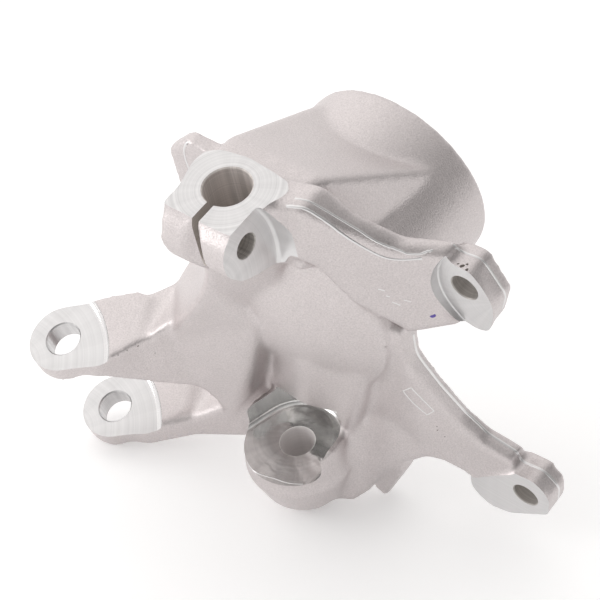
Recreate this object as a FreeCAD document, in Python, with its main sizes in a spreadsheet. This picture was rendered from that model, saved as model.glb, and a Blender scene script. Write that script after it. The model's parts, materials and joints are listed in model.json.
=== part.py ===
import FreeCAD, Part
import math
import os

import Sketcher

# Forged aluminium steering knuckle, one solid.
# It is drawn on its own axes: X towards the brake caliper, Y along the wheel axis away from the car,
# Z up the line between the two ball joints, with the origin where that line passes the wheel axis.
# The finished body is then laid down as it rests on a table.

SIZES = {
    # Bearing housing, turned about the wheel axis
    "housing_rim_y": 91.0,
    "housing_rim_radius": 42.3,
    "housing_root_y": 14.0,
    "housing_root_radius": 47.5,
    "dome_rise": 12.0,
    "rim_chamfer": 1.2,
    "bearing_bore_radius": 36.0,
    "bearing_bore_depth": 42.0,
    "inner_bore_radius": 31.0,
    "inner_bore_end_y": 24.0,
    "circlip_radius": 37.8,
    "circlip_width": 2.4,
    "circlip_inset": 4.0,
    # Roof that ties the upper clamp to the housing
    "roof_front_y": 4.0,
    "roof_front_left": -17.5,
    "roof_front_left_z": 77.5,
    "roof_front_right": 17.5,
    "roof_front_right_z": 77.5,
    "roof_front_spread": 24.0,
    "roof_front_base": 40.0,
    "roof_middle_y": 26.0,
    "roof_middle_left": -21.5,
    "roof_middle_left_z": 70.5,
    "roof_middle_right": 24.5,
    "roof_middle_right_z": 70.0,
    "roof_middle_spread": 29.0,
    "roof_middle_base": 30.0,
    "roof_back_y": 80.0,
    "roof_back_left": -25.0,
    "roof_back_left_z": 37.0,
    "roof_back_right": 32.0,
    "roof_back_right_z": 27.5,
    "roof_back_spread": 40.0,
    "roof_back_base": 4.0,
    "roof_corner": 4.0,
    # Upper clamp for the ball joint stud
    "clamp_top": 78.3,
    "clamp_bottom_z": 52.0,
    "jaw_left_x": -16.2,
    "jaw_right_x": 15.5,
    "jaw_inner_x": -0.3,
    "jaw_back_y": 9.0,
    "jaw_root_z": 41.5,
    "jaw_corner": 4.0,
    "stud_bore_radius": 9.25,
    "stud_bore_runout": 6.0,
    "slot_left_x": -1.9,
    "slot_right_x": 1.3,
    "slot_front_y": -28.0,
    "slot_depth": 35.5,
    "pinch_y": -12.0,
    "pinch_z": 66.5,
    "pinch_bore_radius": 5.0,
    "spotface_x": 15.5,
    "spotface_back_y": 2.2,
    "spotface_back_z": 60.0,
    "spotface_top_y": -2.2,
    "spotface_top_z": 80.0,
    "spotface_bottom_y": 2.0,
    "spotface_bottom_z": 40.0,
    "spotface_reach": 32.0,
    "spotface_width": 12.0,
    # Spine between clamp, clevis and lower boss
    "spine_corner": 4.0,
    # Column from the dome to the lower boss
    "column_corner": 5.0,
    "column_crown": 20.0,
    # Lower boss and the machined pocket above it
    "boss_radius": 23.5,
    "boss_neck_radius": 21.8,
    "boss_top_z": -68.0,
    "boss_belt_z": -86.0,
    "boss_foot_z": -110.0,
    "boss_foot_radius": 13.0,
    "boss_bowl_radius": 19.0,
    "boss_bowl_z": -101.0,
    "pocket_floor_z": -78.3,
    "pocket_radius": 20.0,
    "pocket_fillet": 8.0,
    "pocket_top_z": -60.0,
    "mouth_left_x": -28.0,
    "mouth_right_x": 19.0,
    "mouth_fillet": 2.0,
    "mouth_depth": 8.0,
    "lower_bore_radius": 7.35,
    # Caliper arms and ears
    "plate_corner": 4.0,
    "ear_face_y": 30.0,
    "ear_thickness": 13.0,
    "ear_corner": 3.5,
    "caliper_bolt_radius": 5.6,
    "upper_hole_x": 77.2,
    "upper_hole_z": 35.2,
    "lower_hole_x": 91.6,
    "lower_hole_z": -87.1,
    # Clevis for the tie rod
    "clevis_tilt": 11.3,
    "clevis_hole_x": -89.6,
    "clevis_hole_v": -36.2,
    "clevis_bolt_radius": 7.2,
    "clevis_ear_radius": 14.8,
    "clevis_ear_thickness": 9.5,
    "clevis_top_face": -26.1,
    "clevis_pitch": 62.0,
    "clevis_corner": 3.0,
    "clevis_face_back_x": -86.1,
    "clevis_face_back_v": -16.0,
    "clevis_face_front_x": -65.0,
    "clevis_face_front_v": -35.6,
    "clevis_face_reach": 26.0,
    "clevis_face_depth": 6.0,
    # Lugs at the top and bottom of the flange
    "tab_front_y": 17.0,
    "tab_thickness": 6.5,
    "tab_corner": 4.5,
    "tab_root_x": -16.0,
    "tab_root_z": 34.0,
    "tab_inner_x": -19.0,
    "tab_inner_z": 66.5,
    "tab_crown_x": -36.0,
    "tab_crown_z": 68.5,
    "tab_outer_x": -47.8,
    "tab_outer_z": 57.5,
    "tab_heel_x": -47.0,
    "tab_heel_z": 34.0,
    "wedge_front_y": 15.0,
    "wedge_thickness": 10.0,
    "wedge_left_x": 20.0,
    "wedge_right_x": 41.0,
    "wedge_root_z": -78.0,
    "wedge_heel_z": -110.0,
    "wedge_tip_x": 27.0,
    "wedge_tip_z": -119.0,
    "wedge_tip_radius": 1.5,
    "wedge_toe_z": -91.0,
    # Resting attitude
    "rest_pitch": 15.80,
    "rest_roll": 0.48,
}

# Upper caliper arm: at each station its X, the Y of its inboard and outboard face and the Z of its lower
# and upper edge.
UPPER_ARM = {
    "clamp": (10.0, -3.0, 14.0, 52.0, 78.0),
    "neck": (30.0, 3.6, 19.0, 45.5, 78.0),
    "waist": (40.0, 9.0, 20.5, 24.0, 68.5),
    "fork": (55.0, 19.0, 29.0, 5.0, 55.0),
    "ear": (72.0, 29.3, 39.0, 9.5, 51.0),
}

# Lower caliper arm, in the same way; the crotch is where the gap between the arms ends.
LOWER_ARM = {
    "boss": (14.0, 15.0, 26.0, -102.0, -30.0),
    "web": (32.0, 17.0, 28.0, -95.0, 6.0),
    "crotch": (51.3, 18.8, 29.5, -78.0, 5.5),
    "waist": (51.3, 18.8, 29.5, -78.0, -14.0),
    "bend": (57.5, 22.0, 32.0, -80.2, -31.0),
    "shank": (65.5, 26.0, 36.0, -88.8, -51.5),
    "wrist": (73.0, 29.0, 39.0, -97.0, -63.0),
    "ear": (86.0, 30.8, 41.0, -102.0, -69.0),
}

# Caliper ears: the corners of each ear's outline, X then Z.
UPPER_EAR = {
    "crown_in": (66.3, 41.2),
    "crown": (72.2, 46.2),
    "crown_out": (81.0, 46.4),
    "side": (89.3, 29.7),
    "toe_out": (84.7, 14.0),
    "toe": (77.9, 13.4),
    "root": (67.8, 22.6),
}
LOWER_EAR = {
    "root": (63.0, -100.5),
    "crown_in": (69.6, -87.0),
    "crown": (87.8, -74.6),
    "crown_out": (96.8, -73.8),
    "side": (103.4, -82.2),
    "toe_out": (101.6, -94.0),
    "toe": (82.1, -107.2),
    "heel": (71.9, -109.1),
}

# Spine: at each station its Z, the X and Y of its front left edge, the X of its back left edge,
# the X and Y of its front right edge and the Y of its back.
UPPER_SPINE = {
    "clamp": (62.0, -16.0, -14.0, -17.5, 14.0, -12.0, 16.0),
    "throat": (42.0, -14.0, -11.0, -28.0, 14.0, 0.0, 16.0),
    "neck": (20.0, -18.5, -9.0, -40.0, 8.0, 6.0, 18.0),
    "flank": (-2.0, -31.0, -9.0, -52.0, 0.0, 9.0, 18.0),
    "arm": (-28.0, -48.5, -9.0, -66.0, -18.0, 12.0, 18.0),
}
LOWER_SPINE = {
    "arm": (-28.0, -48.5, -9.0, -51.0, -18.0, 12.0, 18.0),
    "panel": (-48.0, -45.0, -6.5, -47.0, -20.0, 12.5, 20.0),
    "pocket": (-68.0, -41.5, -4.0, -43.5, -24.0, 12.5, 22.0),
    "foot": (-92.0, -37.5, 0.0, -40.0, -20.0, 10.0, 22.0),
}

# Column: at each station its Z, the X and Y of its left edge, the Y of its crown, the X and Y of its right
# edge and the Y of its back.
COLUMN = {
    "dome": (-2.0, -16.0, 11.0, 3.5, 38.5, 12.0, 30.0),
    "middle": (-22.0, -19.0, 13.0, 4.0, 37.0, 11.5, 30.0),
    "low": (-46.0, -22.0, 14.0, 5.0, 31.0, 10.0, 30.0),
    "boss": (-74.0, -26.0, 14.0, 8.0, 22.0, 8.0, 26.0),
}

# Clamp: the corners of its outline seen from above, X then Y.
CLAMP = {
    "nose_left": (-15.6, -9.3),
    "side_left": (-19.0, 3.2),
    "back_left": (-18.2, 9.9),
    "crown_left": (-12.9, 13.5),
    "crown": (-1.2, 15.1),
    "crown_right": (11.5, 13.6),
    "back_right": (17.0, 11.2),
    "side_right": (18.7, 8.0),
    "nose_right": (17.3, -1.5),
    "nose": (14.0, -9.3),
}

# Jaws of the clamp, left and right of the slot: the front of each outline seen from the side, Y then Z.
LEFT_JAW = {
    "brow": (-17.4, 78.3),
    "cheek": (-21.9, 71.0),
    "bulge": (-24.2, 64.2),
    "low": (-22.4, 56.5),
    "chin": (-16.8, 47.5),
    "heel": (-10.5, 43.0),
}
RIGHT_JAW = {
    "brow": (-17.6, 78.3),
    "cheek": (-22.4, 74.8),
    "bulge": (-25.1, 67.7),
    "low": (-22.8, 59.6),
    "chin": (-18.2, 53.4),
    "heel": (-10.8, 49.2),
}

# Clevis arms: at each station its X, the Y of its front and back edge, how far its top stands above the
# ear's machined face, and its depth.
UPPER_CLEVIS = {
    "ear": (-88.0, -42.5, -14.5, -1.5, 6.5),
    "shank": (-69.0, -34.5, 2.0, 1.3, 11.0),
    "root": (-57.0, -18.5, 17.0, 1.8, 29.0),
    "web": (-46.0, -7.0, 18.0, 8.0, 46.0),
}
LOWER_CLEVIS = {
    "ear": (-88.0, -30.5, -2.5, -1.5, 6.5),
    "shank": (-69.0, -23.0, 13.0, 1.3, 11.0),
    "root": (-53.6, -8.5, 18.0, 1.8, 14.0),
    "web": (-34.0, 2.0, 18.0, 12.0, 26.0),
}

doc = FreeCAD.newDocument("steering_knuckle")
sheet = doc.addObject("Spreadsheet::Sheet", "Sizes")


def add_size(alias, value):
    """Write one size into the sheet and give its cell a name."""
    add_size.row += 1
    sheet.set(f"A{add_size.row}", alias)
    sheet.set(f"B{add_size.row}", str(value))
    sheet.setAlias(f"B{add_size.row}", alias)


add_size.row = 0
for alias, value in SIZES.items():
    add_size(alias, value)


def add_stations(prefix, stations, columns):
    """Write a table of sections into the sheet, one named cell for each size."""
    for station, numbers in stations.items():
        for column, number in zip(columns, numbers):
            add_size(f"{prefix}_{station}_{column}", number)


ARM_COLUMNS = ("x", "y", "back", "low", "high")
SPINE_COLUMNS = ("z", "left", "left_front", "left_back", "right", "right_front", "back")
COLUMN_COLUMNS = ("z", "left", "left_front", "crown", "right", "right_front", "back")
CLEVIS_COLUMNS = ("x", "front", "back", "rise", "depth")
add_stations("upper_ear", UPPER_EAR, ("x", "z"))
add_stations("lower_ear", LOWER_EAR, ("x", "z"))
add_stations("upper_arm", UPPER_ARM, ARM_COLUMNS)
add_stations("lower_arm", LOWER_ARM, ARM_COLUMNS)
add_stations("upper_spine", UPPER_SPINE, SPINE_COLUMNS)
add_stations("lower_spine", LOWER_SPINE, SPINE_COLUMNS)
add_stations("column", COLUMN, COLUMN_COLUMNS)
add_stations("clamp", CLAMP, ("x", "y"))
add_stations("left_jaw", LEFT_JAW, ("y", "z"))
add_stations("right_jaw", RIGHT_JAW, ("y", "z"))
add_stations("upper_clevis", UPPER_CLEVIS, CLEVIS_COLUMNS)
add_stations("lower_clevis", LOWER_CLEVIS, CLEVIS_COLUMNS)
doc.recompute()

body = doc.addObject("PartDesign::Body", "Body")
body.Label = "knuckle_body"


def size(expression):
    """Today's value of an expression, used to start a sketch near its solution."""
    result = sheet.evalExpression(expression)
    return float(getattr(result, "Value", result))


def named(text):
    """Spell a size's name, or an expression of names in angle brackets, as the sheet's own reference."""
    return text.replace("<", "Sizes.").replace(">", "")


def sketch_on(role, name, along="0", tilt=None):
    """A sketch on one of the body's origin planes, moved along its normal and, if asked, tilted about X."""
    sketch = body.newObject("Sketcher::SketchObject", name)
    plane = next(item for item in body.Origin.OriginFeatures if item.Role == role)
    sketch.AttachmentSupport = [(plane, "")]
    sketch.MapMode = "FlatFace"
    along = named(along)
    if tilt is None:
        sketch.setExpression("AttachmentOffset.Base.z", along)
        return sketch
    tilt = named(tilt)
    sketch.AttachmentOffset = FreeCAD.Placement(
        FreeCAD.Vector(0, 0, 0), FreeCAD.Rotation(FreeCAD.Vector(1, 0, 0), 1.0)
    )
    sketch.setExpression("AttachmentOffset.Rotation.Angle", tilt)
    sketch.setExpression("AttachmentOffset.Base.y", f"-({along}) * sin({tilt} * 1deg)")
    sketch.setExpression("AttachmentOffset.Base.z", f"({along}) * cos({tilt} * 1deg)")
    return sketch


def fix_point(sketch, geometry, corner, x_text, y_text):
    """Hold one point of a sketch at its place from the sketch's origin."""
    for kind, text in (("DistanceX", x_text), ("DistanceY", y_text)):
        index = sketch.addConstraint(Sketcher.Constraint(kind, -1, 1, geometry, corner, size(named(text))))
        sketch.setExpression(f"Constraints[{index}]", named(text))


def fix_radius(sketch, geometry, text):
    """Give an arc or circle its radius."""
    index = sketch.addConstraint(Sketcher.Constraint("Radius", geometry, size(named(text))))
    sketch.setExpression(f"Constraints[{index}]", named(text))


def outline(sketch, corners):
    """A closed outline through corner points, each sharp or rounded by a radius of its own."""
    count = len(corners)
    places = [FreeCAD.Vector(size(named(corner[0])), size(named(corner[1])), 0) for corner in corners]
    starts, ends, arcs = [], [], []
    for i, corner in enumerate(corners):
        inward = (places[i - 1] - places[i]).normalize()
        onward = (places[(i + 1) % count] - places[i]).normalize()
        if len(corner) == 2:
            starts.append(places[i])
            ends.append(places[i])
            arcs.append(None)
            continue
        half_angle = inward.getAngle(onward) / 2
        radius = size(named(corner[2]))
        trim = radius / math.tan(half_angle)
        middle = (inward + onward).normalize()
        centre = places[i] + middle * (radius / math.sin(half_angle))
        ends.append(places[i] + inward * trim)
        starts.append(places[i] + onward * trim)
        arcs.append(Part.Arc(ends[i], centre - middle * radius, starts[i]))
    lines = [
        sketch.addGeometry(Part.LineSegment(starts[i], ends[(i + 1) % count]), False) for i in range(count)
    ]
    for i, corner in enumerate(corners):
        before, after = lines[i - 1], lines[i]
        if arcs[i] is None:
            sketch.addConstraint(Sketcher.Constraint("Coincident", before, 2, after, 1))
            fix_point(sketch, after, 1, corner[0], corner[1])
            continue
        arc = sketch.addGeometry(arcs[i], False)
        first = sketch.getPoint(arc, 1)
        turn = (1, 2) if first.distanceToPoint(ends[i]) < first.distanceToPoint(starts[i]) else (2, 1)
        sketch.addConstraint(Sketcher.Constraint("Tangent", before, 2, arc, turn[0]))
        sketch.addConstraint(Sketcher.Constraint("Tangent", arc, turn[1], after, 1))
        fix_radius(sketch, arc, corner[2])
        point = sketch.addGeometry(Part.Point(places[i]), True)
        sketch.addConstraint(Sketcher.Constraint("PointOnObject", point, 1, before))
        sketch.addConstraint(Sketcher.Constraint("PointOnObject", point, 1, after))
        fix_point(sketch, point, 1, corner[0], corner[1])
    return lines


def circle(sketch, x_text, y_text, radius_text):
    """A circle about a named centre."""
    centre = FreeCAD.Vector(size(named(x_text)), size(named(y_text)), 0)
    index = sketch.addGeometry(Part.Circle(centre, FreeCAD.Vector(0, 0, 1), size(named(radius_text))), False)
    fix_point(sketch, index, 3, x_text, y_text)
    fix_radius(sketch, index, radius_text)
    return index


def feature(kind, name, sketch, **settings):
    """A PartDesign feature made from one sketch; settings that are text are bound to the sheet."""
    item = body.newObject(f"PartDesign::{kind}", name)
    item.Profile = sketch
    for key, setting in settings.items():
        if isinstance(setting, str) and setting.startswith("="):
            item.setExpression(key, named(setting[1:]))
        else:
            setattr(item, key, setting)
    return item


def turned(kind, name, sketch):
    """A full turn of a sketch about its own upright axis."""
    return feature(kind, name, sketch, ReferenceAxis=(sketch, ["V_Axis"]), Angle=360.0)


def loft(name, sketches, ruled=False):
    """A solid through a row of sections."""
    return feature("AdditiveLoft", name, sketches[0], Sections=sketches[1:], Ruled=ruled)


def cutter_volume(before, name):
    """Stop if a cut has taken nothing away."""
    doc.recompute()
    after = body.Shape.Volume
    if not after < before - 1.0:
        raise RuntimeError(f"{name} cuts nothing")
    return after


# Housing: a tapered barrel whose inboard end is a shallow dome
sketch = sketch_on("XY_Plane", "HousingProfile")
points = [
    ("0", "<housing_rim_y>"),
    ("<housing_rim_radius> - <rim_chamfer>", "<housing_rim_y>"),
    ("<housing_rim_radius>", "<housing_rim_y> - <rim_chamfer>"),
    ("<housing_root_radius>", "<housing_root_y>"),
    ("0", "<housing_root_y> - <dome_rise>"),
]
places = [FreeCAD.Vector(size(named(x)), size(named(y)), 0) for x, y in points]
for i in range(3):
    line = sketch.addGeometry(Part.LineSegment(places[i], places[i + 1]), False)
    fix_point(sketch, line, 1, *points[i])
    if i:
        sketch.addConstraint(Sketcher.Constraint("Coincident", i - 1, 2, i, 1))
fix_point(sketch, 2, 2, *points[3])
dome_drop = size("Sizes.dome_rise")
dome_wide = size("Sizes.housing_root_radius")
dome_ball = (dome_wide**2 + dome_drop**2) / (2 * dome_drop)
dome_centre = FreeCAD.Vector(0, places[4].y + dome_ball, 0)
knee = FreeCAD.Vector(dome_wide * 0.6, dome_centre.y - math.sqrt(dome_ball**2 - (dome_wide * 0.6) ** 2), 0)
sketch.addGeometry(Part.Arc(places[3], knee, places[4]), False)
first = sketch.getPoint(3, 1)
near, far = (1, 2) if first.distanceToPoint(places[3]) < 0.001 else (2, 1)
sketch.addConstraint(Sketcher.Constraint("Coincident", 2, 2, 3, near))
sketch.addConstraint(Sketcher.Constraint("PointOnObject", 3, 3, -2))
sketch.addGeometry(Part.LineSegment(places[4], places[0]), False)
sketch.addConstraint(Sketcher.Constraint("Coincident", 3, far, 4, 1))
sketch.addConstraint(Sketcher.Constraint("Coincident", 4, 2, 0, 1))
fix_point(sketch, 4, 1, *points[4])
turned("Revolution", "Housing", sketch)

# Roof: a ridge that runs from the clamp down to the barrel
roof = []
for end in ("front", "middle", "back"):
    sketch = sketch_on("XZ_Plane", f"Roof_{end}", f"-<roof_{end}_y>")
    at = f"<roof_{end}_"
    outline(sketch, [
        (f"-{at}spread>", f"{at}base>"),
        (f"{at}spread>", f"{at}base>"),
        (f"{at}right>", f"{at}right_z>", "<roof_corner>"),
        (f"{at}left>", f"{at}left_z>", "<roof_corner>"),
    ])
    roof.append(sketch)
loft("Roof", roof, True)

# Spine: the wall between the clamp, the clevis and the lower boss
def spine(name, prefix, stations):
    """A wall through level sections whose left side leans from front to back."""
    sections = []
    for station in stations:
        at = f"<{prefix}_{station}_"
        sketch = sketch_on("XY_Plane", f"{name}_{station}", f"{at}z>")
        outline(sketch, [
            (f"{at}left>", f"{at}left_front>", "<spine_corner>"),
            (f"{at}right>", f"{at}right_front>"),
            (f"{at}right>", f"{at}back>"),
            (f"{at}left_back>", f"{at}back>", "<spine_corner>"),
        ])
        sections.append(sketch)
    return loft(name, sections)


spine("UpperSpine", "upper_spine", UPPER_SPINE)
spine("LowerSpine", "lower_spine", LOWER_SPINE)

# Column: the bulge from the dome down to the lower boss
sections = []
for station in COLUMN:
    at = f"<column_{station}_"
    sketch = sketch_on("XY_Plane", f"Column_{station}", f"{at}z>")
    outline(sketch, [
        (f"{at}left>", f"{at}left_front>", "<column_corner>"),
        (f"({at}left> + {at}right>) / 2", f"{at}crown>", "<column_crown>"),
        (f"{at}right>", f"{at}right_front>", "<column_corner>"),
        (f"{at}right>", f"{at}back>"),
        (f"{at}left>", f"{at}back>"),
    ])
    sections.append(sketch)
loft("Column", sections)

# Lower boss, turned about the ball joint line
sketch = sketch_on("XZ_Plane", "BossProfile")
outline(sketch, [
    ("0", "<boss_top_z>"),
    ("0", "<boss_foot_z>"),
    ("<boss_foot_radius>", "<boss_foot_z>"),
    ("<boss_bowl_radius>", "<boss_bowl_z>"),
    ("<boss_radius>", "<boss_belt_z>"),
    ("<boss_neck_radius>", "<pocket_floor_z>"),
    ("<boss_neck_radius>", "<boss_top_z>"),
])
turned("Revolution", "Boss", sketch)


# Caliper arms: two limbs of one curved flange
def arm(name, prefix, stations):
    """A limb through upright sections."""
    sections = []
    for station in stations:
        at = f"<{prefix}_{station}_"
        sketch = sketch_on("YZ_Plane", f"{name}_{station}", f"{at}x>")
        outline(sketch, [
            (f"{at}y>", f"{at}low>", "<plate_corner>"),
            (f"{at}back>", f"{at}low>", "<plate_corner>"),
            (f"{at}back>", f"{at}high>", "<plate_corner>"),
            (f"{at}y>", f"{at}high>", "<plate_corner>"),
        ])
        sections.append(sketch)
    return loft(name, sections, True)


arm("UpperArm", "upper_arm", UPPER_ARM)
arm("LowerWeb", "lower_arm", ("boss", "web", "crotch"))
arm("LowerArm", "lower_arm", ("waist", "bend", "shank", "wrist", "ear"))
ear_back = "-(<ear_face_y> + <ear_thickness>)"
for name, prefix, corners in (("UpperEar", "upper_ear", UPPER_EAR), ("LowerEar", "lower_ear", LOWER_EAR)):
    sketch = sketch_on("XZ_Plane", f"{name}Outline", ear_back)
    outline(sketch, [(f"<{prefix}_{corner}_x>", f"<{prefix}_{corner}_z>", "<ear_corner>") for corner in corners])
    feature("Pad", name, sketch, Length="=<ear_thickness>")


# Lugs on the flange: a rounded tab above, a pointed wedge below
sketch = sketch_on("XZ_Plane", "TabOutline", "-(<tab_front_y> + <tab_thickness>)")
outline(sketch, [
    ("<tab_root_x>", "<tab_root_z>"),
    ("<tab_inner_x>", "<tab_inner_z>"),
    ("<tab_crown_x>", "<tab_crown_z>", "<tab_corner>"),
    ("<tab_outer_x>", "<tab_outer_z>", "<tab_corner>"),
    ("<tab_heel_x>", "<tab_heel_z>"),
])
feature("Pad", "Tab", sketch, Length="=<tab_thickness>")
sketch = sketch_on("XZ_Plane", "WedgeOutline", "-(<wedge_front_y> + <wedge_thickness>)")
outline(sketch, [
    ("<wedge_left_x>", "<wedge_root_z>"),
    ("<wedge_left_x>", "<wedge_heel_z>"),
    ("<wedge_tip_x>", "<wedge_tip_z>", "<wedge_tip_radius>"),
    ("<wedge_right_x>", "<wedge_toe_z>"),
    ("<wedge_right_x>", "<wedge_root_z>"),
])
feature("Pad", "Wedge", sketch, Length="=<wedge_thickness>")


# Clevis: two parallel ears on a tilted bolt axis, each with its own arm
def clevis_arm(name, prefix, face, stations):
    """An arm through upright sections from the ear to the spine."""
    sections = []
    for station in stations:
        at = f"<{prefix}_{station}_"
        tilt = "<clevis_tilt> * 1deg"
        sketch = sketch_on("YZ_Plane", f"{name}_{station}", f"{at}x>")
        high = [f"({face}) / cos({tilt}) + {at}{side}> * tan({tilt}) + {at}rise>" for side in ("front", "back")]
        outline(sketch, [
            (f"{at}front>", f"{high[0]} - {at}depth>", "<clevis_corner>"),
            (f"{at}back>", f"{high[1]} - {at}depth>", "<clevis_corner>"),
            (f"{at}back>", high[1], "<clevis_corner>"),
            (f"{at}front>", high[0], "<clevis_corner>"),
        ])
        sections.append(sketch)
    return loft(name, sections, True)


lower_face = "<clevis_top_face> - <clevis_pitch>"
clevis_arm("UpperClevisArm", "upper_clevis", "<clevis_top_face>", UPPER_CLEVIS)
clevis_arm("LowerClevisArm", "lower_clevis", lower_face, LOWER_CLEVIS)
for name, face in (("Upper", "<clevis_top_face>"), ("Lower", lower_face)):
    sketch = sketch_on("XY_Plane", f"{name}ClevisEarOutline", f"{face} - <clevis_ear_thickness>", "<clevis_tilt>")
    circle(sketch, "<clevis_hole_x>", "<clevis_hole_v>", "<clevis_ear_radius>")
    feature("Pad", f"{name}ClevisEar", sketch, Length="=<clevis_ear_thickness>")

# Clamp: a block round the stud bore, rounded underneath at the front
sketch = sketch_on("XY_Plane", "ClampPlan", "<clamp_bottom_z>")
outline(sketch, [(f"<clamp_{corner}_x>", f"<clamp_{corner}_y>") for corner in CLAMP])
feature("Pad", "Clamp", sketch, Length="=<clamp_top> - <clamp_bottom_z>")
for name, prefix, outer, corners, root_z in (
    ("LeftJaw", "left_jaw", "<jaw_inner_x>", LEFT_JAW, "<left_jaw_heel_z>"),
    ("RightJaw", "right_jaw", "<jaw_right_x>", RIGHT_JAW, "<jaw_root_z>"),
):
    sketch = sketch_on("YZ_Plane", f"{name}Outline", outer)
    outline(sketch, [
        (f"<{prefix}_brow_y>", f"<{prefix}_brow_z>"),
        *[(f"<{prefix}_{corner}_y>", f"<{prefix}_{corner}_z>", "<jaw_corner>") for corner in list(corners)[1:]],
        ("<jaw_back_y>", root_z),
        ("<jaw_back_y>", f"<{prefix}_brow_z>"),
    ])
    inner = "<jaw_left_x>" if name == "LeftJaw" else "<jaw_inner_x>"
    feature("Pad", name, sketch, Reversed=True, Length=named(f"={outer} - {inner}"))

doc.recompute()
volume = body.Shape.Volume

# Bearing seat, inner bore and snap ring groove, all from the outboard end
sketch = sketch_on("XY_Plane", "BoreProfile")
seat = "<housing_rim_y> - <bearing_bore_depth>"
ring = "<housing_rim_y> - <circlip_inset>"
outline(sketch, [
    ("0", "<inner_bore_end_y>"),
    ("<inner_bore_radius>", "<inner_bore_end_y>"),
    ("<inner_bore_radius>", seat),
    ("<bearing_bore_radius>", seat),
    ("<bearing_bore_radius>", f"{ring} - <circlip_width>"),
    ("<circlip_radius>", f"{ring} - <circlip_width>"),
    ("<circlip_radius>", ring),
    ("<bearing_bore_radius>", ring),
    ("<bearing_bore_radius>", "<housing_rim_y> + 1"),
    ("0", "<housing_rim_y> + 1"),
])
turned("Groove", "BearingBore", sketch)
volume = cutter_volume(volume, "the bearing bore")

# Machined pocket over the lower boss
sketch = sketch_on("XZ_Plane", "PocketProfile")
outline(sketch, [
    ("0", "<pocket_floor_z>"),
    ("<pocket_radius>", "<pocket_floor_z>", "<pocket_fillet>"),
    ("<pocket_radius>", "<pocket_top_z>"),
    ("0", "<pocket_top_z>"),
])
turned("Groove", "Pocket", sketch)
volume = cutter_volume(volume, "the pocket")
sketch = sketch_on("XZ_Plane", "PocketRunOut", "<mouth_depth>")
outline(sketch, [
    ("<mouth_left_x>", "<pocket_floor_z>"),
    ("<mouth_right_x>", "<pocket_floor_z>", "<mouth_fillet>"),
    ("<mouth_right_x>", "<pocket_top_z>"),
    ("<mouth_left_x>", "<pocket_top_z>"),
])
feature("Pocket", "PocketMouth", sketch, Reversed=True, Length="=<boss_radius> + 2 - <mouth_depth>")
volume = cutter_volume(volume, "the pocket's mouth")

# Stud bore, the slot that opens it to the front, the pinch bolt bore and its spot face
sketch = sketch_on("XY_Plane", "StudBoreOutline", "<clamp_top>")
circle(sketch, "0", "0", "<stud_bore_radius>")
feature("Pocket", "StudBore", sketch, Length="=<clamp_top> - <clamp_bottom_z> + <stud_bore_runout>")
volume = cutter_volume(volume, "the stud bore")
sketch = sketch_on("XY_Plane", "SlotOutline", "<clamp_top>")
outline(sketch, [
    ("<slot_left_x>", "<slot_front_y>"),
    ("<slot_right_x>", "<slot_front_y>"),
    ("<slot_right_x>", "0"),
    ("<slot_left_x>", "0"),
])
feature("Pocket", "Slot", sketch, Length="=<slot_depth>")
volume = cutter_volume(volume, "the slot")
sketch = sketch_on("YZ_Plane", "PinchBoreOutline", "0")
circle(sketch, "<pinch_y>", "<pinch_z>", "<pinch_bore_radius>")
feature("Pocket", "PinchBore", sketch, Type="ThroughAll", Midplane=True)
volume = cutter_volume(volume, "the pinch bolt bore")
sketch = sketch_on("YZ_Plane", "PinchSpotFaceOutline", "<spotface_x>")
outline(sketch, [
    ("<spotface_bottom_y>", "<spotface_bottom_z>"),
    ("<spotface_back_y>", "<spotface_back_z>"),
    ("<spotface_top_y>", "<spotface_top_z>"),
    ("-<spotface_reach>", "<spotface_top_z>"),
    ("-<spotface_reach>", "<spotface_bottom_z>"),
])
feature("Pocket", "PinchSpotFace", sketch, Length="=<spotface_width>", Reversed=True)
volume = cutter_volume(volume, "the pinch bolt spot face")

# Spot faces on the clevis ears, upper sides
for name, face in (("Upper", "<clevis_top_face>"), ("Lower", lower_face)):
    sketch = sketch_on("XY_Plane", f"{name}SpotFaceOutline", f"{face} + <clevis_face_depth>", "<clevis_tilt>")
    outline(sketch, [
        ("<clevis_face_back_x>", "<clevis_face_back_v>"),
        ("<clevis_face_front_x>", "<clevis_face_front_v>"),
        ("<clevis_face_front_x>", "<clevis_face_front_v> - <clevis_face_reach>"),
        ("<clevis_face_back_x> - <clevis_face_reach>", "<clevis_face_front_v> - <clevis_face_reach>"),
        ("<clevis_face_back_x> - <clevis_face_reach>", "<clevis_face_back_v> + <clevis_face_reach>"),
        ("<clevis_face_back_x>", "<clevis_face_back_v> + <clevis_face_reach>"),
    ])
    feature("Pocket", f"{name}SpotFace", sketch, Length="=<clevis_face_depth>")
    volume = cutter_volume(volume, f"the {name} spot face")

sketch = sketch_on("XY_Plane", "LowerBoreOutline", "<pocket_floor_z>")
circle(sketch, "0", "0", "<lower_bore_radius>")
feature("Pocket", "LowerBore", sketch, Length="=<pocket_floor_z> - <boss_foot_z> + 1")
volume = cutter_volume(volume, "the lower bore")
for name, x_text, z_text in (
    ("Upper", "<upper_hole_x>", "<upper_hole_z>"),
    ("Lower", "<lower_hole_x>", "<lower_hole_z>"),
):
    sketch = sketch_on("XZ_Plane", f"{name}CaliperHoleOutline", ear_back)
    circle(sketch, x_text, z_text, "<caliper_bolt_radius>")
    feature("Pocket", f"{name}CaliperHole", sketch, Type="ThroughAll", Midplane=True)
    volume = cutter_volume(volume, f"the {name} caliper hole")
sketch = sketch_on("XY_Plane", "ClevisHoleOutline", "<clevis_top_face>", "<clevis_tilt>")
circle(sketch, "<clevis_hole_x>", "<clevis_hole_v>", "<clevis_bolt_radius>")
feature("Pocket", "ClevisHole", sketch, Type="ThroughAll", Midplane=True)
volume = cutter_volume(volume, "the clevis hole")

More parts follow.
